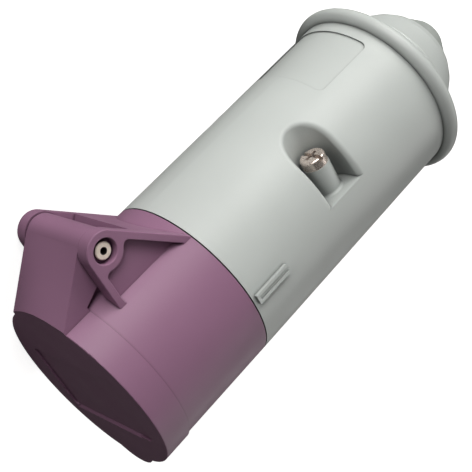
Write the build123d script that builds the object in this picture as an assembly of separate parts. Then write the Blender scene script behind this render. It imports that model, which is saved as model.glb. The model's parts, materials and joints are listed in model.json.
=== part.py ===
from build123d import *
import math
import os

os.makedirs("parts", exist_ok=True)

# Working frame: X runs along the coupler from the lid to the cable end, Y points
# from the axis to the hinge, Z runs along the hinge pin. The last step lays the
# finished pieces down on the table.

body_radius = 27.5
body_wall = 3.0
body_bore = body_radius - body_wall
seat_gap = 0.05
slide_gap = 0.3
lid_gap = 0.1

# lid
lid_step = 0.45
lid_radius = body_radius + lid_step
lid_plate = 2.6
lid_depth = 8.9
lid_wall = 4.65
lid_bore = lid_radius - lid_wall
lid_edge_round = 0.25
lid_panel_depth = 0.7
lid_panel_half = 18.8
lid_panel_low = -14.0
lid_panel_high = 10.0
lid_panel_corner = 2.0
lid_panel_line = 13.0
lip_radius = 10.0
lip_out = 2.6
lip_reach = body_radius + lip_out
lip_thick = 1.1
arm_half = 12.6
arm_rim_step = 1.2
arm_rim_radius = body_radius + arm_rim_step
arm_back_v = body_radius - arm_rim_step
arm_root = 3.5
arm_root_v = body_radius - arm_root
gasket_inner = body_bore + 0.1
gasket_width = 1.6
gasket_outer = gasket_inner + gasket_width
gasket_thick = 2.6
gasket_start = lid_depth + lid_gap - gasket_thick

# front housing
front_start = lid_depth + lid_gap
seam_gap = 0.4
front_end = 41.6
ledge_start = 33.0
lug_thick = 4.5
lug_bore = body_bore - 5.9
lug_half = 4.6
spigot_length = 9.0
spigot_wall = 2.0

# hinge
pin_u = 19.7
pin_rise = 9.3
pin_v = body_radius + pin_rise
pin_radius = 2.4
pin_bore_radius = 1.0
pin_inset = 0.9
pin_chamfer = 0.25
counterbore_radius = 3.45
counterbore_depth = 2.45
barrel_radius = 5.2
boss_radius = 5.5
hinge_edge_round = 0.4
ear_outer = 17.05
ear_inner = arm_half + slide_gap
web_recess = 2.1
strut_width = 2.1
strut_corner = 1.4
strut_tip_round = 0.5
ear_edge_round = 0.3
plate_front = 29.95
plate_thick = 2.6
foot_rise = 0.5
ear_seat_v = math.sqrt(body_radius ** 2 - ear_outer ** 2)
ear_foot = 1.577
ear_low_v = ear_seat_v - ear_foot
ear_pocket_foot = 0.177
ear_pocket_low_v = ear_seat_v - ear_pocket_foot

# lid spring
spring_wire = 0.8
spring_radius = 3.5
spring_half = 4.4
spring_turns = 5
spring_pocket_half = 6.0
spring_pocket_radius = 4.25

# rear housing
rear_start = front_end + seam_gap
rear_step = 0.3
rear_radius = body_radius - rear_step
flange_start = 126.3
flange_half = 2.45
flange_out = 2.6
flange_radius = body_radius + flange_out
flange_peak = flange_start + flange_half
flange_end = flange_peak + flange_half
flange_face_radius = flange_radius - flange_half
rear_wall = 3.0
rear_bore = rear_radius - rear_wall
rear_wall_start = 121.0
rear_wall_thick = 7.4
seal_groove_inner = body_bore + 0.5
seal_groove_width = 1.5
seal_groove_outer = seal_groove_inner + seal_groove_width
seal_groove_depth = 1.2

# label field
label_start = 100.2
label_end = 122.3
label_half = 14.8
label_depth = 0.5
label_corner = 2.0
label_low_v = body_radius - 17.5

# raised mark near the seam
rib_start = 43.1
rib_end = 55.6
rib_width = 3.0
rib_height = 1.0
rib_groove = 0.3
rib_rim = 0.95
rib_nose = 3.2
rib_taper = 1.6
rib_base = body_radius - 0.7

# clamp screw pockets
screw_u = 84.3
screw_inset = 7.6
screw_w = body_radius - screw_inset
pocket_half = 6.4
pocket_offset = 1.7
pocket_centre_w = screw_w + pocket_offset
pocket_top_v = body_radius + 12.5
pocket_floor_v = 2.0
pocket_wall = 2.0
pocket_rim_round = 1.6
boss_foot_round = 0.8
boss_web_half = 2.6
screw_boss_radius = 3.96
screw_boss_top = 11.05
screw_head_radius = 3.75
screw_head_height = 3.05
screw_head_round = 0.9
screw_radius = 2.0
screw_hole_radius = 2.15
screw_length = 20.0
screw_tip_v = screw_boss_top - screw_length
slot_width = 1.2
slot_depth = 1.3
cross_reach = 2.0
cross_width = 1.1
cross_depth = 1.9

# cable clamp bar
bar_half_u = 5.0
bar_end_top = -4.0
bar_end_low = -7.0
bar_mid_top = -8.6
bar_mid_low = -12.0
bar_end_length = 6.9
bar_mid_half = screw_w - bar_end_length
bar_step = 3.0
bar_margin = 2.7
bar_half = screw_w + bar_margin
bar_hole_radius = screw_radius + 0.05
saddle_half_u = 4.0
saddle_half_w = 8.0
saddle_radius = 9.0

# cable gland
neck_radius = 14.6
neck_root = 13.9
neck_length = 13.3
neck_end = flange_end + neck_length
neck_bore = 11.8
thread_pitch = 2.4
thread_start = 1.2
cable_passage = 10.0
seal_seat = neck_end - 8.5
nut_start = flange_end + slide_gap
nut_collar_radius = 21.7
nut_collar_length = 5.1
nut_bend_radius = 18.45
nut_bend = 5.4
nut_edge_radius = 16.45
nut_edge = 8.9
nut_end_radius = 14.1
nut_bore = neck_radius + slide_gap
nut_mouth = 13.6
washer_thick = 0.8
washer_bore = neck_bore + 0.1
washer_radius = nut_bore - 0.5
seal_collar_thick = 0.9
seal_collar_radius = washer_radius - 0.2
seal_shoulder = neck_end + washer_thick
nut_shoulder = seal_shoulder + seal_collar_thick + lid_gap
nut_end = nut_shoulder + 2.0
cable_bore = 5.0
seal_radius = neck_bore - 0.15
seal_rings = 6
seal_ring_length = 1.4
seal_ring_radius = nut_mouth - slide_gap
seal_tip_radius = 5.6
seal_groove = 0.45

# contact carrier
carrier_front = 12.0
collar_space = 7.0
carrier_radius = body_bore - collar_space
carrier_back = 40.0
relief_start = 20.0
carrier_flange_thick = 3.0
carrier_flange_radius = body_bore - 0.2
carrier_rear_radius = lug_bore - 0.1
key_width = 5.4
key_depth = 3.0
key_small_width = 3.0
key_small_depth = 2.1
key_small_angle = 120.0
sleeve_w = 7.5
sleeve_radius = 3.6
sleeve_bore = 2.55
sleeve_front = 13.4
sleeve_bore_length = 16.0
sleeve_entry = 2.9
terminal_radius = 4.6
terminal_length = 11.0
wire_radius = 2.3
wire_depth = 9.0
terminal_screw_radius = 1.9
terminal_head_radius = 2.7
terminal_head_height = 2.2
terminal_slot = 0.8
terminal_slot_depth = 1.1
fixing_radius = 1.5
fixing_head_radius = 2.7
fixing_head_height = 1.9
fixing_slot = 0.8
fixing_slot_depth = 0.9
fixing_cross_half = 1.6
fixing_circle = body_bore - 3.5
fixing_length = 5.4


def turned(points):
    face = make_face(Polyline(*points, close=True))
    return revolve(face, Axis.X, 360)


def ring(start, end, outer, inner=0.0):
    return turned([(start, inner), (end, inner), (end, outer), (start, outer)])


def slab(points, low, high):
    face = make_face(Polyline(*points, close=True))
    return Pos(0, 0, low) * extrude(face, high - low, dir=(0, 0, 1))


def post_w(u, v, radius, low, high):
    return Pos(u, v, (low + high) / 2) * Cylinder(radius, high - low)


def post_v(u, w, radius, low, high):
    return Pos(u, (low + high) / 2, w) * Rot(90, 0, 0) * Cylinder(radius, high - low)


def block(u0, u1, v0, v1, w0, w1):
    centre = Pos((u0 + u1) / 2, (v0 + v1) / 2, (w0 + w1) / 2)
    return centre * Box(u1 - u0, v1 - v0, w1 - w0)


def circle_touch(u, v, radius, side):
    # Touching point of the line from (u, v) to a circle round the pin.
    du = u - pin_u
    dv = v - pin_v
    reach = math.hypot(du, dv)
    angle = math.atan2(dv, du) + side * math.acos(radius / reach)
    return (pin_u + radius * math.cos(angle), pin_v + radius * math.sin(angle))


def shifted(p, q, amount):
    # The line from p to q moved sideways, positive to its left.
    length = math.hypot(q[0] - p[0], q[1] - p[1])
    du = -(q[1] - p[1]) / length * amount
    dv = (q[0] - p[0]) / length * amount
    return (p[0] + du, p[1] + dv), (q[0] + du, q[1] + dv)


front_foot = (pin_u - boss_radius, ear_low_v)
rear_foot_v = ear_seat_v + foot_rise
rear_foot = (front_end, rear_foot_v)
rear_touch = circle_touch(rear_foot[0], rear_foot[1], boss_radius, 1)
plate_slope = (rear_foot[1] - rear_touch[1]) / (rear_foot[0] - rear_touch[0])
plate_front_v = rear_touch[1] + plate_slope * (plate_front - rear_touch[0])


def ear_outline():
    front = [(pin_u - boss_radius, pin_v), front_foot, (front_end, ear_low_v)]
    return front + [rear_foot, rear_touch, (pin_u, pin_v)]


def ear_pocket(low, high):
    p, q = shifted(rear_touch, rear_foot, -strut_width)
    slope = (q[1] - p[1]) / (q[0] - p[0])
    low_v = ear_pocket_low_v
    inner_u = front_foot[0] + strut_width
    top = p[1] + slope * (inner_u - p[0])
    end_u = p[0] + (low_v - p[1]) / slope
    hollow = slab([(inner_u, low_v), (end_u, low_v), (inner_u, top)], low, high)
    hollow -= post_w(pin_u, pin_v, boss_radius, low, high)
    pieces = [s for s in hollow.solids() if s.center().Y < pin_v - 1]
    pocket = max(pieces, key=lambda s: s.volume)
    corners = pocket.edges().filter_by(Axis.Z).sort_by(Axis.X)[:-1]
    pocket = fillet(corners, strut_corner)
    tip = pocket.edges().filter_by(Axis.Z).sort_by(Axis.X)[-1]
    return fillet(tip, strut_tip_round)


def ear(side):
    low = min(side * ear_inner, side * ear_outer)
    high = max(side * ear_inner, side * ear_outer)
    plate = slab(ear_outline(), low, high) + post_w(pin_u, pin_v, boss_radius, low, high)
    recess_low = min(side * (ear_outer - web_recess), side * (ear_outer + 1))
    recess_high = max(side * (ear_outer - web_recess), side * (ear_outer + 1))
    plate -= ear_pocket(recess_low, recess_high)
    floor = side * (ear_outer - counterbore_depth)
    outside = side * (ear_outer + 1)
    plate -= post_w(pin_u, pin_v, counterbore_radius, min(floor, outside), max(floor, outside))
    face = plate.faces().sort_by(Axis.Z)[-1 if side > 0 else 0]
    plate = fillet(face.edges(), ear_edge_round)
    return plate - post_w(pin_u, pin_v, pin_radius, low - 1, high + 1)


def bridge_plate():
    front = (plate_front, plate_front_v)
    low_front, low_back = shifted(front, rear_foot, -plate_thick)
    outline = [front, rear_foot, (front_end, ear_low_v), (low_back[0] - 1.0, ear_low_v), low_front]
    return slab(outline, -ear_inner, ear_inner)


def front_housing():
    shell = ring(front_start, front_end, body_radius, body_bore)
    ears = ear(1) + ear(-1) + bridge_plate()
    ears -= ring(front_start, front_end + 1, body_radius - 1.0)
    housing = shell + ears
    spigot_radius = rear_bore - 0.1
    spigot_bore = spigot_radius - spigot_wall
    housing += ring(ledge_start, front_end, body_bore + 1, spigot_bore)
    housing += ring(front_end, front_end + spigot_length, spigot_radius, spigot_bore)
    lugs = ring(ledge_start, ledge_start + lug_thick, spigot_bore + 1, lug_bore)
    band = block(ledge_start, front_end, -body_radius, body_radius, -lug_half, lug_half)
    housing += lugs & band
    hole = ring(ledge_start - 1, ledge_start + lug_thick, fixing_radius)
    for side in (-1, 1):
        housing -= Pos(0, side * fixing_circle, 0) * hole
    return housing


def lid_arm():
    foot_v = math.sqrt(arm_rim_radius ** 2 - arm_half ** 2)
    touch = circle_touch(0.0, foot_v, barrel_radius, -1)
    near = make_face(
        Line((0, 10, -arm_half), (0, 10, arm_half))
        + Line((0, 10, arm_half), (0, foot_v, arm_half))
        + ThreePointArc((0, foot_v, arm_half), (0, arm_rim_radius, 0), (0, foot_v, -arm_half))
        + Line((0, foot_v, -arm_half), (0, 10, -arm_half))
    )
    far_v = touch[1]
    far_u = touch[0]
    far = make_face(
        Line((far_u, 10, -arm_half), (far_u, 10, arm_half))
        + Line((far_u, 10, arm_half), (far_u, far_v, arm_half))
        + Line((far_u, far_v, arm_half), (far_u, far_v, -arm_half))
        + Line((far_u, far_v, -arm_half), (far_u, 10, -arm_half))
    )
    wedge = loft([near.face(), far.face()], ruled=True)
    back = circle_touch(lid_depth, arm_back_v, barrel_radius, 1)
    inside = [(far_u - 0.01, far_v), (pin_u, pin_v), back, (far_u - 0.01, arm_root_v)]
    wedge += slab(inside, -arm_half, arm_half)
    side = [(-1, 5), (lid_depth, 5), (lid_depth, arm_back_v), back]
    side += [(pin_u, pin_v), touch, (touch[0], 60), (-1, 60)]
    wedge = wedge & slab(side, -arm_half, arm_half)
    wedge -= ring(lid_depth, pin_u, body_radius + slide_gap)
    barrel = post_w(pin_u, pin_v, barrel_radius, -arm_half, arm_half)
    return wedge + fillet(barrel.edges().filter_by(GeomType.CIRCLE), hinge_edge_round)


def lid():
    cap = ring(0, lid_depth, lid_radius)
    cap = fillet(cap.edges().sort_by(Axis.X)[0], lid_edge_round)
    cap += lid_arm()
    cap += Pos(0, lip_radius - lip_reach, 0) * ring(0, lip_thick, lip_radius)
    cap -= ring(lid_plate, lid_depth, lid_bore)
    cap -= ring(gasket_start, lid_depth, gasket_outer, gasket_inner)
    panel = block(-1, lid_panel_depth, lid_panel_low, lid_panel_high, -lid_panel_half, lid_panel_half)
    cap -= fillet(panel.edges().filter_by(Axis.X), lid_panel_corner)
    slope = [(-lid_panel_depth, lid_panel_low - 2 * lid_panel_depth), (lid_panel_depth, lid_panel_low)]
    slope += [(-lid_panel_depth, lid_panel_low + lid_panel_depth)]
    cap -= slab(slope, -lid_panel_half, lid_panel_line)
    cap -= post_w(pin_u, pin_v, pin_radius + seat_gap, -arm_half - 1, arm_half + 1)
    pocket = post_w(pin_u, pin_v, spring_pocket_radius, -spring_pocket_half, spring_pocket_half)
    window = [(pin_u - 2.5, pin_v), (pin_u - 6.5, pin_v - 12)]
    window += [(pin_u + 12, pin_v - 12), (pin_u + spring_pocket_radius, pin_v)]
    pocket += slab(window, -spring_pocket_half, spring_pocket_half)
    cap -= pocket
    return cap


def lid_gasket():
    return ring(gasket_start, front_start, gasket_outer - seat_gap, gasket_inner + seat_gap)


def hinge_pin():
    half = ear_outer - pin_inset
    pin = post_w(pin_u, pin_v, pin_radius, -half, half)
    pin = chamfer(pin.edges(), pin_chamfer)
    return pin - post_w(pin_u, pin_v, pin_bore_radius, -half - 1, half + 1)


def lid_spring():
    pitch = 2 * spring_half / spring_turns
    coil = Helix(pitch, 2 * spring_half, spring_radius)
    section = Plane(origin=coil @ 0, z_dir=coil % 0) * RegularPolygon(spring_wire / 2, 6)
    wire = sweep(section, coil, is_frenet=True)
    return Pos(pin_u, pin_v, -spring_half) * wire


def contact_carrier():
    body = ring(carrier_front, ledge_start, carrier_radius)
    body += ring(ledge_start - carrier_flange_thick, ledge_start, carrier_flange_radius)
    body += ring(ledge_start, carrier_back, carrier_rear_radius)
    key = block(carrier_front - 1, ledge_start - carrier_flange_thick, -carrier_radius - 1,
                -carrier_radius + key_depth, -key_width / 2, key_width / 2)
    body -= key
    small = block(carrier_front - 1, ledge_start - carrier_flange_thick, -carrier_radius - 1,
                  -carrier_radius + key_small_depth, -key_small_width / 2, key_small_width / 2)
    body -= Rot(key_small_angle, 0, 0) * small
    for side in (-1, 1):
        body -= Pos(0, 0, side * sleeve_w) * ring(carrier_front - 1, sleeve_front, sleeve_entry)
        body -= Pos(0, 0, side * sleeve_w) * ring(sleeve_front, carrier_back + 1, sleeve_radius + seat_gap)
        body -= Pos(0, side * fixing_circle, 0) * ring(relief_start, carrier_back, fixing_radius + 0.2)
        relief = ring(relief_start, ledge_start - carrier_flange_thick, fixing_head_radius + 0.4)
        body -= Pos(0, side * fixing_circle, 0) * relief
    return body


def contact_sleeve(side):
    sleeve = ring(sleeve_front, carrier_back, sleeve_radius)
    sleeve += ring(carrier_back, carrier_back + terminal_length, terminal_radius)
    sleeve -= ring(sleeve_front - 1, sleeve_front + sleeve_bore_length, sleeve_bore)
    end = carrier_back + terminal_length
    sleeve -= ring(end - wire_depth, end + 1, wire_radius)
    sleeve = Pos(0, 0, side * sleeve_w) * sleeve
    hole = post_v(terminal_u(), side * sleeve_w, terminal_screw_radius + seat_gap, 1.0, terminal_radius + 1)
    return sleeve - hole


def terminal_u():
    return carrier_back + terminal_length - wire_depth / 2


def slotted(u, w, radius, top, width, depth):
    return block(u - radius - 1, u + radius + 1, top - depth, top + 1, w - width / 2, w + width / 2)


def terminal_screw(side):
    w = side * sleeve_w
    head_low = terminal_radius + 0.1
    screw = post_v(terminal_u(), w, terminal_screw_radius, 1.4, head_low)
    screw += post_v(terminal_u(), w, terminal_head_radius, head_low, head_low + terminal_head_height)
    top = head_low + terminal_head_height
    return screw - slotted(terminal_u(), w, terminal_head_radius, top, terminal_slot, terminal_slot_depth)


def carrier_screw(side):
    head_end = ledge_start - carrier_flange_thick
    screw = ring(head_end - fixing_head_height, head_end, fixing_head_radius)
    screw += ring(head_end, head_end + fixing_length, fixing_radius - seat_gap)
    top = head_end - fixing_head_height
    half = fixing_slot / 2
    floor = top + fixing_slot_depth
    slot = block(top - 1, floor, -half, half, -fixing_head_radius - 1, fixing_head_radius + 1)
    cross = block(top - 1, floor, -fixing_cross_half, fixing_cross_half, -half, half)
    return Pos(0, side * fixing_circle, 0) * (screw - slot - cross)


def housing_seal():
    end = rear_start + seal_groove_depth
    return ring(front_end, end, seal_groove_outer - seat_gap, seal_groove_inner + seat_gap)


def outer_body():
    foot = (flange_start, flange_face_radius)
    back = (flange_end, flange_face_radius)
    outline = Polyline((rear_start, 0), (rear_start, body_radius), (flange_start, rear_radius), foot)
    outline += ThreePointArc(foot, (flange_peak, flange_radius), back)
    outline += Polyline(back, (flange_end, 0), (rear_start, 0))
    return revolve(make_face(outline), Axis.X, 360)


def neck():
    start = flange_end - 1
    first = flange_end + thread_start
    crest = [(start, cable_passage), (start, neck_root), (first, neck_root)]
    turns = int((neck_end - first - 1) / thread_pitch)
    for i in range(turns):
        base = first + i * thread_pitch
        flank = thread_pitch / 4
        crest += [(base + flank, neck_radius), (base + 2 * flank, neck_radius)]
        crest += [(base + 3 * flank, neck_root)]
    crest += [(neck_end, neck_root), (neck_end, cable_passage)]
    return turned(crest) - ring(seal_seat, neck_end + 1, neck_bore)


def pocket_shape(half, floor, top):
    shape = post_v(screw_u, pocket_centre_w, half, floor, top)
    shape += block(screw_u - half, screw_u + half, floor, top, pocket_centre_w, pocket_top_v)
    return shape


def mirrored(shape):
    return mirror(shape, about=Plane.XY)


def pocket_lining():
    return pocket_shape(pocket_half + pocket_wall, pocket_floor_v - pocket_wall, pocket_top_v)


def screw_boss():
    low = pocket_floor_v - 1
    boss = post_v(screw_u, screw_w, screw_boss_radius, low, screw_boss_top)
    wall_w = pocket_centre_w - pocket_half - 1
    boss += block(screw_u - boss_web_half, screw_u + boss_web_half, low, screw_boss_top, wall_w, screw_w)
    return boss


def open_pocket(body, side):
    # The boss is left standing and the pocket's mouth is rounded.
    tool = pocket_shape(pocket_half, pocket_floor_v, pocket_top_v) - screw_boss()
    arcs = tool.edges().filter_by(GeomType.CIRCLE)
    foot = [e for e in arcs.group_by(Axis.Y)[0] if abs(e.radius - screw_boss_radius) < seat_gap]
    tool = fillet(foot, boss_foot_round)
    if side < 0:
        tool = mirrored(tool)
    body -= tool
    rim = []
    for edge in body.edges():
        middle = edge.center()
        radii = [math.hypot((edge @ t).Y, (edge @ t).Z) for t in (0.1, 0.5, 0.9)]
        off = max(abs(radius - body_radius) for radius in radii)
        beside = abs(abs(middle.X - screw_u) - pocket_half) < 0.2 or abs(middle.X - screw_u) < 0.5
        if off < 0.4 and beside and side * middle.Z > pocket_half and middle.Y > pocket_floor_v + 1:
            rim.append(edge)
    return fillet(rim, pocket_rim_round)


def label_field():
    tall = block(label_start, label_end, label_low_v, pocket_top_v, -label_half, label_half)
    tall = fillet(tall.edges().filter_by(Axis.Y), label_corner)
    return tall - ring(label_start - 1, label_end + 1, rear_radius + 0.08 - label_depth)


def raised_mark():
    top = body_radius + rib_height
    half = rib_width / 2
    rib = block(rib_start, rib_end, -half, half, rib_base, top)
    rib -= block(rib_start + rib_rim, rib_end, rib_rim - half, half - rib_rim, top - rib_groove, top + 1)
    nose = [(rib_end - rib_nose, top), (rib_end, top), (rib_end, body_radius - rib_height)]
    rib -= slab(nose, -half, half)
    for side in (-1, 1):
        taper = [(rib_end - rib_taper, side * half), (rib_end, side * half), (rib_end, 0)]
        rib -= Rot(90, 0, 0) * slab(taper, -top, -rib_base)
    return rib


def rear_housing():
    shell = open_pocket(open_pocket(outer_body(), 1), -1)
    hollow = ring(rear_start - 1, rear_wall_start, rear_bore)
    rear_wall_end = rear_wall_start + rear_wall_thick
    hollow += turned([(rear_wall_start, 0), (rear_wall_start, rear_bore), (rear_wall_end, cable_passage),
                      (flange_end + 1, cable_passage), (flange_end + 1, 0)])
    hollow -= pocket_lining() + mirrored(pocket_lining())
    saddle = block(screw_u - saddle_half_u, screw_u + saddle_half_u, 2, rear_bore + 1,
                   -saddle_half_w, saddle_half_w)
    hollow -= saddle - ring(rear_start, flange_start, saddle_radius)
    shell -= hollow
    shell += neck()
    for side in (-1, 1):
        shell -= post_v(screw_u, side * screw_w, screw_hole_radius, -2, 20)
    shell -= ring(rear_start - 1, rear_start + seal_groove_depth, seal_groove_outer, seal_groove_inner)
    shell -= label_field()
    return shell + raised_mark()


def clamp_screw():
    head_top = screw_boss_top + screw_head_height
    head = post_v(screw_u, screw_w, screw_head_radius, screw_boss_top, head_top)
    head = fillet(head.edges().group_by(Axis.Y)[-1], screw_head_round)
    screw = head + post_v(screw_u, screw_w, screw_radius, screw_tip_v, screw_boss_top)
    slot = slotted(0, 0, screw_head_radius, head_top, slot_width, slot_depth)
    cross = block(-cross_reach, cross_reach, head_top - cross_depth, head_top + 1,
                  -cross_width / 2, cross_width / 2)
    cross += Rot(0, 90, 0) * cross
    return screw - Pos(screw_u, 0, screw_w) * (Rot(0, 90, 0) * slot + cross)


def clamp_bar():
    half = bar_half_u
    bar = block(screw_u - half, screw_u + half, bar_mid_low, bar_mid_top, -bar_mid_half, bar_mid_half)
    for side in (-1, 1):
        inner = side * (bar_mid_half - bar_step)
        outer = side * bar_half
        corner = side * bar_mid_half
        bar += block(screw_u - half, screw_u + half, bar_end_low, bar_end_top,
                     min(inner, outer), max(inner, outer))
        bar += block(screw_u - half, screw_u + half, bar_mid_low, bar_end_top,
                     min(inner, corner), max(inner, corner))
        bar -= post_v(screw_u, side * screw_w, bar_hole_radius, bar_end_low - 1, bar_end_top + 1)
    return bar


def gland_nut():
    collar_end = nut_start + nut_collar_length
    bend = collar_end + nut_bend
    edge = collar_end + nut_edge
    outline = [(nut_start, nut_bore), (nut_start, nut_collar_radius), (collar_end, nut_collar_radius)]
    outline += [(bend, nut_bend_radius), (edge, nut_edge_radius), (nut_end, nut_end_radius)]
    outline += [(nut_end, nut_mouth), (nut_shoulder, nut_mouth), (nut_shoulder, nut_bore)]
    return turned(outline)


def gland_washer():
    return ring(neck_end, seal_shoulder, washer_radius, washer_bore)


def gland_seal():
    outline = [(seal_seat, cable_bore), (seal_seat, seal_radius), (seal_shoulder, seal_radius)]
    outline += [(seal_shoulder, seal_collar_radius), (seal_shoulder + seal_collar_thick, seal_collar_radius)]
    outline += [(seal_shoulder + seal_collar_thick, seal_ring_radius)]
    step = (seal_ring_radius - seal_tip_radius) / seal_rings
    for i in range(seal_rings):
        start = nut_end + i * seal_ring_length
        radius = seal_ring_radius - i * step
        end = start + seal_ring_length - seal_groove
        floor = radius - step - seal_groove
        outline += [(start, radius), (end, radius - step / 2), (end, floor), (end + seal_groove, floor)]
    outline[-2] = (end, cable_bore)
    return turned(outline[:-1])


# The coupler rests on the lid's rim, the flange and one hinge boss.
rim_u = lid_edge_round
pitch = math.degrees(math.asin((flange_radius - lid_radius) / (flange_peak - rim_u)))
rest_level = lid_radius + (flange_radius - lid_radius) * (pin_u - rim_u) / (flange_peak - rim_u)
boss_top_v = pin_v + boss_radius
lean = math.asin(rest_level / math.hypot(boss_top_v, ear_outer)) - math.atan2(ear_outer, boss_top_v)
roll = math.degrees(lean)
tilt = Rot(0, -pitch, 0) * Rot(-roll, 0, 0)

nodes = {
    "front_housing": front_housing(),
    "rear_housing": rear_housing(),
    "lid": lid(),
    "lid_gasket": lid_gasket(),
    "hinge_pin": hinge_pin(),
    "lid_spring": lid_spring(),
    "contact_carrier": contact_carrier(),
    "contact_sleeve_1": contact_sleeve(1),
    "contact_sleeve_2": contact_sleeve(-1),
    "terminal_screw_1": terminal_screw(1),
    "terminal_screw_2": terminal_screw(-1),
    "carrier_screw_1": carrier_screw(1),
    "carrier_screw_2": carrier_screw(-1),
    "housing_seal": housing_seal(),
    "clamp_bar": clamp_bar(),
    "clamp_screw_1": clamp_screw(),
    "clamp_screw_2": mirrored(clamp_screw()),
    "gland_nut": gland_nut(),
    "gland_washer": gland_washer(),
    "gland_seal": gland_seal(),
}

laid = {name: tilt * shape for name, shape in nodes.items()}
box = Compound(children=[s for shape in laid.values() for s in shape.solids()]).bounding_box()
shift = Pos(-(box.min.X + box.max.X) / 2, -(box.min.Y + box.max.Y) / 2, -box.min.Z)
print("pitch", pitch, "roll", roll, "shift", shift.position)

for name, shape in laid.items():
    solids = (shift * shape).solids()
    print(name, len(solids), round(sum(s.volume for s in solids), 1))
    export_step(shift * shape, "parts/" + name + ".step")
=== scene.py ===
import json
import math

import bmesh
import bpy
import numpy as np
from mathutils import Matrix, Vector


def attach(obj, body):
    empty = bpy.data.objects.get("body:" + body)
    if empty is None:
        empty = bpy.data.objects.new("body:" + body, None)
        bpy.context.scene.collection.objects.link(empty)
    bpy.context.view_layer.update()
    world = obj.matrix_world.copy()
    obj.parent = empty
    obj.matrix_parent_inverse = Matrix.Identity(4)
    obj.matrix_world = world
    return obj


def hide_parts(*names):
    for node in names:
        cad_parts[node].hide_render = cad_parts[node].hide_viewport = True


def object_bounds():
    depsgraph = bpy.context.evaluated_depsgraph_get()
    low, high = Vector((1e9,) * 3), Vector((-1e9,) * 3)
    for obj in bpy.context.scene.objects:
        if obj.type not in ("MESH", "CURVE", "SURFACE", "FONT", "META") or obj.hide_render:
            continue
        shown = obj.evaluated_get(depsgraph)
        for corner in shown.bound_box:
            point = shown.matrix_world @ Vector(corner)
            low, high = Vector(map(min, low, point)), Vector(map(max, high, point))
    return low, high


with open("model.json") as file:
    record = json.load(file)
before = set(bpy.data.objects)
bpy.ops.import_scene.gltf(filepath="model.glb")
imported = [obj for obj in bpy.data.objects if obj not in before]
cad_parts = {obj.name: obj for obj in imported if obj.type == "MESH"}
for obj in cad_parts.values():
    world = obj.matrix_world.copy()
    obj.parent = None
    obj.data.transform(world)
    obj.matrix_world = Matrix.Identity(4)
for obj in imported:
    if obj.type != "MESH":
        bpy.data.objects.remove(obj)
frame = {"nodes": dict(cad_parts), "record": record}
cadLow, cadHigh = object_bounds()
nodes = frame["nodes"]
record = frame["record"]
mm = 0.001
print("stage: frame loaded,", len(nodes), "nodes")


# The coupler's own axes, read from the frame: u runs from the lid to the cable,
# v from the middle line to the hinge, w along the hinge pin. The front ends of the
# contacts lie at contactFront, in mm, and that sets where u is zero.
def jointNamed(name):
    return next(j for j in record["behaviour"]["joints"] if j["name"] == name)


def mountNamed(name):
    return next(m for m in record["mounts"] if m["name"] == name)


hinge = jointNamed("lid_hinge")
uAxis = np.array(jointNamed("gland_slide")["axis"], float)
wAxis = -np.array(hinge["axis"], float)
vAxis = np.cross(wAxis, uAxis)
contactOne = mountNamed("contact_1")
contactTwo = mountNamed("contact_2")
contactMiddle = (np.array(contactOne["pos_m"]) + np.array(contactTwo["pos_m"])) / 2
contactFront = 13.4
contactCentreU = contactFront + contactOne["dims"]["length_mm"] / 2
zeroPoint = contactMiddle - uAxis * contactCentreU * mm
turnIn = np.stack([uAxis, vAxis, wAxis])


# A point given in the coupler's own millimetres, in metres of the frame.
def placed(points):
    return zeroPoint + (np.asarray(points, float) * mm) @ turnIn


def heading(direction):
    return Vector(np.asarray(direction, float) @ turnIn)


pinU, pinV = (((np.array(hinge["pos_m"]) - zeroPoint) / mm) @ turnIn.T)[:2]


# Camera: place, picture right and picture down in the coupler's own axes, from the photograph.
# The sensor is in mm and the two clip distances are in metres.
cameraPlan = {
    "place": (-74.92, 185.45, 264.82),
    "right": (0.63604, -0.43778, 0.63545),
    "down": (-0.66632, -0.72693, 0.16614),
    "focalPixels": 1224.4,
    "picturePixels": 472,
    "sensor": 36.0,
    "clipStart": 0.02,
    "clipEnd": 20,
}


def makeCamera(plan):
    data = bpy.data.cameras.new("camera")
    data.sensor_width = plan["sensor"]
    data.lens = plan["focalPixels"] / plan["picturePixels"] * plan["sensor"]
    data.clip_start = plan["clipStart"]
    data.clip_end = plan["clipEnd"]
    camera = bpy.data.objects.new("camera", data)
    bpy.context.collection.objects.link(camera)
    right = heading(plan["right"]).normalized()
    up = -heading(plan["down"]).normalized()
    back = right.cross(up).normalized()
    up = back.cross(right)
    turn = Matrix((right, up, back)).transposed()
    camera.matrix_world = Matrix.Translation(Vector(placed(plan["place"]))) @ turn.to_4x4()
    bpy.context.scene.camera = camera
    return camera


camera = makeCamera(cameraPlan)
print("stage: camera, lens", round(camera.data.lens, 2))


# Small helpers for material trees. Sizes are in mm.
occlusionSamples = 8


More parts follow.
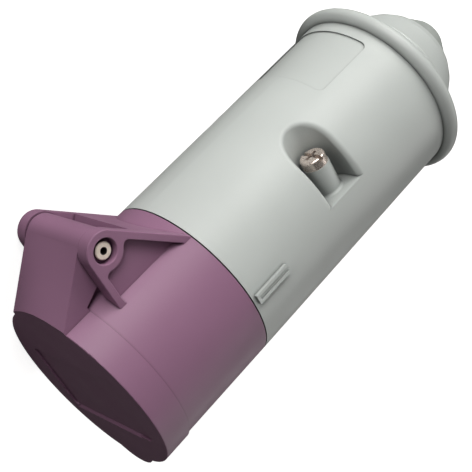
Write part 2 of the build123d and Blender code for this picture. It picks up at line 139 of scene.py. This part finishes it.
class Tree:
    def __init__(self, name):
        self.material = bpy.data.materials.new(name)
        self.material.use_nodes = True
        self.nodes = self.material.node_tree.nodes
        self.links = self.material.node_tree.links
        self.shader = self.nodes["Principled BSDF"]
        self.place = self.nodes.new("ShaderNodeTexCoord").outputs["Object"]

    def add(self, kind, inputs=None, **settings):
        node = self.nodes.new(kind)
        for key, value in settings.items():
            setattr(node, key, value)
        for key, value in (inputs or {}).items():
            if isinstance(value, bpy.types.NodeSocket):
                self.links.new(value, node.inputs[key])
            else:
                node.inputs[key].default_value = value
        return node

    def noise(self, size, detail=3.0, roughness=0.5, vector=None):
        inputs = {"Vector": self.place if vector is None else vector, "Scale": 1 / (size * mm)}
        inputs.update({"Detail": detail, "Roughness": roughness})
        return self.add("ShaderNodeTexNoise", inputs).outputs["Fac"]

    # The value stretched from lowIn..highIn to low..high; a noise lies mostly in 0.35..0.65.
    def spread(self, value, low, high, lowIn=0.35, highIn=0.65):
        inputs = {"Value": value, "From Min": lowIn, "From Max": highIn}
        inputs.update({"To Min": low, "To Max": high})
        return self.add("ShaderNodeMapRange", inputs).outputs["Result"]

    def swing(self, value, middle, down, up):
        return self.spread(value, middle - down, middle + up)

    def times(self, colour, value):
        inputs = {0: colour, "Scale": value}
        return self.add("ShaderNodeVectorMath", inputs, operation="SCALE").outputs["Vector"]

    def ramp(self, value, low, high):
        node = self.add("ShaderNodeMix", {"Factor": value}, data_type="RGBA")
        node.inputs["A"].default_value = (*low, 1)
        node.inputs["B"].default_value = (*high, 1)
        return node.outputs["Result"]

    # Painted shade: the colour, darkened to the tone by ambient occlusion in a recess narrower than
    # the reach.
    # The span says which share of open sky counts as shut and which as open.
    def paintedRecessShade(self, colour, reach, tone, span):
        node = self.add("ShaderNodeAmbientOcclusion", {"Distance": reach * mm})
        node.samples = occlusionSamples
        return self.times(colour, self.spread(node.outputs["AO"], tone, 1, *span))

    # Painted shade in the pin's bore: the colour, darkened to the bore's tone nearer to the hinge's
    # axis than the bore's radius.
    def paintedBoreShade(self, colour, bore):
        centre = tuple(placed((pinU, pinV, 0)))
        offset = self.vector("SUBTRACT", self.place, centre).outputs["Vector"]
        square = self.vector("CROSS_PRODUCT", offset, tuple(hinge["axis"])).outputs["Vector"]
        length = self.vector("LENGTH", square).outputs["Value"]
        edge = (bore["radius"] * mm, (bore["radius"] + bore["fade"]) * mm)
        return self.times(colour, self.spread(length, bore["tone"], 1, *edge))

    def vector(self, operation, *values):
        return self.add("ShaderNodeVectorMath", dict(enumerate(values)), operation=operation)

    def bump(self, height, strength, distance):
        inputs = {"Height": height, "Strength": strength, "Distance": distance * mm}
        return self.add("ShaderNodeBump", inputs).outputs["Normal"]

    def wire(self, socket, value):
        self.links.new(value, self.shader.inputs[socket])

    def fix(self, **values):
        for key, value in values.items():
            self.shader.inputs[key.replace("_", " ")].default_value = value


# A hex colour in linear light, by the sRGB curve.
def linear(hexColour):
    parts = [int(hexColour[i:i + 2], 16) / 255 for i in (1, 3, 5)]
    return tuple(c / 12.92 if c <= 0.04045 else ((c + 0.055) / 1.055) ** 2.4 for c in parts)


# The colour in two tones that lie in clouds over the surface.
def clouded(tree, cloud, hexColour, tones):
    colour = linear(hexColour)
    dark, light = [tuple(c * tone for c in colour) for tone in tones]
    return tree.ramp(tree.spread(cloud, 0, 1), dark, light)


plasticPlan = {
    "tones": (0.965, 1.03),
    "cloudDetail": 2.0,
    "recessShadeSpan": (0.25, 0.8),
    "seamSpan": (0.45, 0.93),
    "polishDetail": 4.0,
    "polishSwing": 0.03,
    "grainDetail": 2.0,
    "ior": 1.5,
}


# Moulded housing plastic: faint cloudy colour, fine spark-eroded grain, soft polish changes,
# painted shade in the deep recesses and painted dark lines of shade in narrow seams.
def mouldedPlastic(name, plan):
    tree = Tree(name)
    common = plasticPlan
    cloud = tree.noise(plan["cloudSize"], common["cloudDetail"])
    unshaded = clouded(tree, cloud, plan["colour"], common["tones"])
    # Painted shade: darker in deep recesses, then thin painted shade lines at narrow seams.
    recessShaded = tree.paintedRecessShade(unshaded, *plan["recessShade"], common["recessShadeSpan"])
    tree.wire("Base Color", tree.paintedRecessShade(recessShaded, *plan["seam"], common["seamSpan"]))
    polish = tree.noise(plan["polishSize"], common["polishDetail"])
    swing = common["polishSwing"]
    tree.wire("Roughness", tree.swing(polish, plan["roughness"], swing, swing))
    grain = tree.noise(plan["grainSize"], common["grainDetail"])
    tree.wire("Normal", tree.bump(grain, plan["grainStrength"], plan["grainDepth"]))
    tree.fix(IOR=common["ior"], Specular_IOR_Level=plan["specular"])
    return tree.material


rubberPlan = {
    "tones": (0.9, 1.12),
    "bloomDetail": 4.0,
    "bloomRoughness": 0.6,
    "recessShadeSpan": (0.35, 0.85),
    "roughSwing": 0.06,
    "grainDetail": 2.0,
    "grainStrength": 0.25,
    "grainDepth": 0.02,
    "specular": 0.35,
}


# Rubber: matt, with a light bloom on the surface and painted shade in its grooves and recesses.
def rubber(name, plan):
    tree = Tree(name)
    common = rubberPlan
    bloom = tree.noise(plan["bloomSize"], common["bloomDetail"], common["bloomRoughness"])
    bloomed = clouded(tree, bloom, plan["colour"], common["tones"])
    # Painted shade in grooves and recesses.
    tree.wire("Base Color", tree.paintedRecessShade(bloomed, *plan["recessShade"], common["recessShadeSpan"]))
    swing = common["roughSwing"]
    tree.wire("Roughness", tree.swing(bloom, plan["roughness"], swing, swing))
    grain = tree.noise(plan["grainSize"], common["grainDetail"])
    tree.wire("Normal", tree.bump(grain, common["grainStrength"], common["grainDepth"]))
    tree.fix(Specular_IOR_Level=common["specular"])
    return tree.material


metalPlan = {
    "tones": (0.86, 1.06),
    "recessShadeSpan": (0.15, 0.75),
    "roughDown": 0.06,
    "roughUp": 0.08,
    "streakStrength": 0.05,
    "streakDepth": 0.008,
}


# Plated metal: fine streaks along one axis, cloudy plating and painted shade in its recesses. The
# plating is part matt, so its metallic share is under one. A piece round the hinge's axis may have
# its bore filled with painted shade.
def metal(name, plan):
    tree = Tree(name)
    common = metalPlan
    stretch = tree.add("ShaderNodeMapping", {"Vector": tree.place, "Scale": plan["streak"]})
    streaks = tree.noise(plan["streakSize"], vector=stretch.outputs["Vector"])
    patch = tree.noise(plan["patchSize"])
    plated = clouded(tree, patch, plan["colour"], common["tones"])
    # Painted shade in recesses and, round the hinge's axis, in the pin's bore.
    paintedShadeColour = tree.paintedRecessShade(plated, *plan["recessShade"], common["recessShadeSpan"])
    if "bore" in plan:
        paintedShadeColour = tree.paintedBoreShade(paintedShadeColour, plan["bore"])
    tree.wire("Base Color", paintedShadeColour)
    rough = tree.swing(streaks, plan["roughness"], common["roughDown"], common["roughUp"])
    tree.wire("Roughness", rough)
    tree.wire("Normal", tree.bump(streaks, common["streakStrength"], common["streakDepth"]))
    tree.fix(Metallic=plan["metallic"])
    return tree.material


# One finish for each material slot. A recess shade and a seam shade are painted shade, given as
# (reach in mm, tone), a bore is darkened with painted shade within its radius, and streak is the
# scale of the streaks along X, Y and Z.
finishPlans = {
    "mauve": (mouldedPlastic, {
        "colour": "#946d88", "cloudSize": 30, "polishSize": 9, "roughness": 0.44,
        "grainSize": 0.22, "grainStrength": 0.10, "grainDepth": 0.02,
        "specular": 0.32, "recessShade": (7, 0.86), "seam": (0.9, 0.45)}),
    "grey": (mouldedPlastic, {
        "colour": "#c3c8c6", "cloudSize": 38, "polishSize": 11, "roughness": 0.42,
        "grainSize": 0.24, "grainStrength": 0.08, "grainDepth": 0.02,
        "specular": 0.4, "recessShade": (13, 0.42), "seam": (1.1, 0.5)}),
    "carrier": (mouldedPlastic, {
        "colour": "#3b3b3e", "cloudSize": 20, "polishSize": 7, "roughness": 0.5,
        "grainSize": 0.2, "grainStrength": 0.12, "grainDepth": 0.02,
        "specular": 0.45, "recessShade": (5, 0.8), "seam": (0.8, 0.6)}),
    "seal_rubber": (rubber, {
        "colour": "#1d1d1e", "bloomSize": 2.5, "roughness": 0.7, "grainSize": 0.3,
        "recessShade": (1.5, 0.4)}),
    "gland_rubber": (rubber, {
        "colour": "#9ea3a0", "bloomSize": 4.0, "roughness": 0.62, "grainSize": 0.3,
        "recessShade": (1.5, 0.15)}),
    "pin_metal": (metal, {
        "colour": "#fff0e2", "streak": (1, 1, 8), "streakSize": 0.5, "patchSize": 2,
        "roughness": 0.34, "metallic": 0.2, "recessShade": (1.7, 0.2),
        "bore": {"radius": 1.0, "fade": 0.06, "tone": 0.02}}),
    "screw_metal": (metal, {
        "colour": "#ecded5", "streak": (1, 6, 1), "streakSize": 0.5, "patchSize": 2.5,
        "roughness": 0.26, "metallic": 0.75, "recessShade": (1.3, 0.06)}),
    "spring_steel": (metal, {
        "colour": "#c4c6c8", "streak": (1, 1, 5), "streakSize": 0.3, "patchSize": 2,
        "roughness": 0.28, "metallic": 0.7, "recessShade": (1, 0.5)}),
    "contact_brass": (metal, {
        "colour": "#dab871", "streak": (6, 1, 1), "streakSize": 0.4, "patchSize": 3,
        "roughness": 0.3, "metallic": 0.7, "recessShade": (3, 0.35)}),
}

finishes = {name: make(name, plan) for name, (make, plan) in finishPlans.items()}
slotOf = {part["node"]: part["material_slot"] for part in record["subparts"]}

for name, node in nodes.items():
    node.data.materials.clear()
    node.data.materials.append(finishes[slotOf[name]])
print("stage: finishes on", len(nodes), "nodes")


# A mesh object from a grid of points: rows run along the first parameter, columns round the
# second, and the first and last rows are shut with a pole each. Its normals point outward.
def gridPiece(name, grid, finish):
    rows, columns = grid.shape[:2]
    poles = np.stack([grid[0].mean(0), grid[-1].mean(0)])
    points = np.concatenate([grid.reshape(-1, 3), poles])
    row, column = np.meshgrid(np.arange(rows - 1), np.arange(columns), indexing="ij")
    here = row * columns + column
    beside = row * columns + (column + 1) % columns
    quads = np.stack([here, here + columns, beside + columns, beside], -1).reshape(-1, 4)
    ring = np.arange(columns)
    nextRing = (ring + 1) % columns
    firstPole = rows * columns
    startCap = np.stack([ring, nextRing, np.full(columns, firstPole)], -1)
    lastRow = (rows - 1) * columns
    endCap = np.stack([lastRow + nextRing, lastRow + ring, np.full(columns, firstPole + 1)], -1)
    mesh = bpy.data.meshes.new(name)
    mesh.from_pydata(points.tolist(), [], quads.tolist() + startCap.tolist() + endCap.tolist())
    mesh.polygons.foreach_set("use_smooth", np.ones(len(mesh.polygons), bool))
    mesh.materials.append(finishes[finish])
    piece = bpy.data.objects.new(name, mesh)
    bpy.context.collection.objects.link(piece)
    work = bmesh.new()
    work.from_mesh(mesh)
    bmesh.ops.recalc_face_normals(work, faces=work.faces)
    work.to_mesh(mesh)
    work.free()
    return piece


# Lid spring: a round wire carried along a helix round the hinge pin, with a short tang at each
# end. Lengths are in mm.
springPlan = {
    "radius": 3.5,
    "wire": 0.8,
    "halfLength": 4.3,
    "turns": 5.25,
    "tang": 1.3,
    "bend": 0.5,
    "bendShare": 0.5,
    "stepsPerTurn": 48,
    "stepsRound": 16,
    "stepsTang": 11,
}


# Path: at a share t of the turns the point is (radius cos 2 pi turns t, radius sin 2 pi turns t,
# halfLength (2t - 1)). Past each end a quarter bend leads into a straight tang along the pin, the
# bend taking bendShare of the steps. Surface: path + wire/2 (cos a first + sin a second), where
# first and second are square to the path and to each other.
def makeSpring(plan):
    t = np.linspace(0, 1, int(plan["turns"] * plan["stepsPerTurn"]) + 1)
    angle = 2 * np.pi * plan["turns"] * t
    across = plan["halfLength"] * (2 * t - 1)
    coil = np.stack([plan["radius"] * np.cos(angle), plan["radius"] * np.sin(angle), across], -1)
    s = np.linspace(0, 1, plan["stepsTang"] + 1)[1:, None]
    along = np.array([0, 0, 1.0])
    share = plan["bendShare"]

    def tang(point, direction, sign):
        turn = np.pi / 2 * np.minimum(s / share, 1)
        bend = plan["bend"] * (np.sin(turn) * direction + sign * (1 - np.cos(turn)) * along)
        straight = np.maximum(s - share, 0) / (1 - share) * plan["tang"]
        return point + bend + straight * sign * along

    startWay = (coil[0] - coil[1]) / np.linalg.norm(coil[0] - coil[1])
    endWay = (coil[-1] - coil[-2]) / np.linalg.norm(coil[-1] - coil[-2])
    path = np.concatenate([tang(coil[0], startWay, -1)[::-1], coil, tang(coil[-1], endWay, 1)])
    ahead = np.gradient(path, axis=0)
    ahead /= np.linalg.norm(ahead, axis=1)[:, None]
    radial = np.stack([path[:, 0], path[:, 1], np.zeros(len(path))], -1)
    first = radial - (radial * ahead).sum(1)[:, None] * ahead
    first /= np.linalg.norm(first, axis=1)[:, None]
    second = np.cross(ahead, first)
    a = np.linspace(0, 2 * np.pi, plan["stepsRound"], endpoint=False)[None, :, None]
    section = plan["wire"] / 2 * (np.cos(a) * first[:, None] + np.sin(a) * second[:, None])
    grid = path[:, None] + section + np.array([pinU, pinV, 0])
    spring = gridPiece("springCoil", placed(grid), "spring_steel")
    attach(spring, springBody)
    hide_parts("lid_spring")


bodies = record["behaviour"]["bodies"]
springBody = next(body for body, members in bodies.items() if "lid_spring" in members)
makeSpring(springPlan)
print("stage: spring")


# Floor and world. To the camera both look pale, with the glow's strength. To the object the floor
# has only its bounce colour and the world its low strength, so that the lid's face stays in its
# own shade as in the photograph. The floor's half width is in metres.
studioPlan = {
    "floorHalf": 6.0,
    "floorColour": "#fbfbfa",
    "bounceColour": "#7c7c7b",
    "floorRoughness": 0.9,
    "floorSpecular": 0.1,
    "worldColour": "#fbfbfa",
    "worldStrength": 0.014,
    "glow": 0.8,
}


def makeFloor(plan):
    half = plan["floorHalf"]
    mesh = bpy.data.meshes.new("floor")
    corners = [(-half, -half, 0), (half, -half, 0), (half, half, 0), (-half, half, 0)]
    mesh.from_pydata(corners, [], [(0, 1, 2, 3)])
    floor = bpy.data.objects.new("floor", mesh)
    bpy.context.collection.objects.link(floor)
    tree = Tree("floorPaint")
    seen = tree.add("ShaderNodeLightPath").outputs["Is Camera Ray"]
    tones = linear(plan["bounceColour"]), linear(plan["floorColour"])
    tree.wire("Base Color", tree.ramp(seen, *tones))
    glow = tree.add("ShaderNodeMath", {0: seen, 1: plan["glow"]}, operation="MULTIPLY")
    tree.wire("Emission Strength", glow.outputs["Value"])
    tree.fix(Roughness=plan["floorRoughness"], Specular_IOR_Level=plan["floorSpecular"])
    tree.fix(Emission_Color=(1, 1, 1, 1))
    mesh.materials.append(tree.material)


def makeWorld(plan):
    world = bpy.data.worlds.new("studio")
    world.use_nodes = True
    worldNodes, links = world.node_tree.nodes, world.node_tree.links
    path = worldNodes.new("ShaderNodeLightPath")
    strength = worldNodes.new("ShaderNodeMapRange")
    strength.inputs["To Min"].default_value = plan["worldStrength"]
    strength.inputs["To Max"].default_value = plan["glow"]
    links.new(path.outputs["Is Camera Ray"], strength.inputs["Value"])
    background = worldNodes["Background"]
    background.inputs["Color"].default_value = (*linear(plan["worldColour"]), 1)
    links.new(strength.outputs["Result"], background.inputs["Strength"])
    bpy.context.scene.world = world


# Each lamp is a disc that stands round the object's middle: azimuth 0 is on the -Y side and 90 on
# the +X side, the elevation is above the floor, and the power is in watts.
lampStand = {"distance": 0.7, "size": 0.4}
lampPlans = {
    "keyLamp": {"azimuth": 135, "elevation": 12, "power": 3.05, "colour": "#fffefb"},
    "backLamp": {"azimuth": 180, "elevation": 12, "power": 2.9, "colour": "#fffefb"},
    "sideLamp": {"azimuth": 215, "elevation": 16, "power": 0.75, "colour": "#fffdfa"},
    "frontLamp": {"azimuth": 0, "elevation": 42, "power": 0.7, "colour": "#fffdfa"},
    "lowLamp": {"azimuth": 15, "elevation": 8, "power": 0.45, "colour": "#fffdfa"},
    "cornerLamp": {"azimuth": 45, "elevation": 40, "power": 0.72, "colour": "#fffdfa"},
}


def makeLamp(name, plan):
    data = bpy.data.lights.new(name, "AREA")
    data.shape = "DISK"
    data.size = lampStand["size"]
    data.energy = plan["power"]
    data.color = linear(plan["colour"])
    lamp = bpy.data.objects.new(name, data)
    bpy.context.collection.objects.link(lamp)
    turn = math.radians(plan["azimuth"])
    rise = math.radians(plan["elevation"])
    level = math.cos(rise)
    away = Vector((math.sin(turn) * level, -math.cos(turn) * level, math.sin(rise)))
    place = (cadLow + cadHigh) / 2 + away * lampStand["distance"]
    facing = (-away).to_track_quat("-Z", "Y").to_matrix().to_4x4()
    lamp.matrix_world = Matrix.Translation(place) @ facing


makeFloor(studioPlan)
makeWorld(studioPlan)
for name, plan in lampPlans.items():
    makeLamp(name, plan)
bpy.context.scene.view_settings.view_transform = "Standard"
print("stage: floor and light")
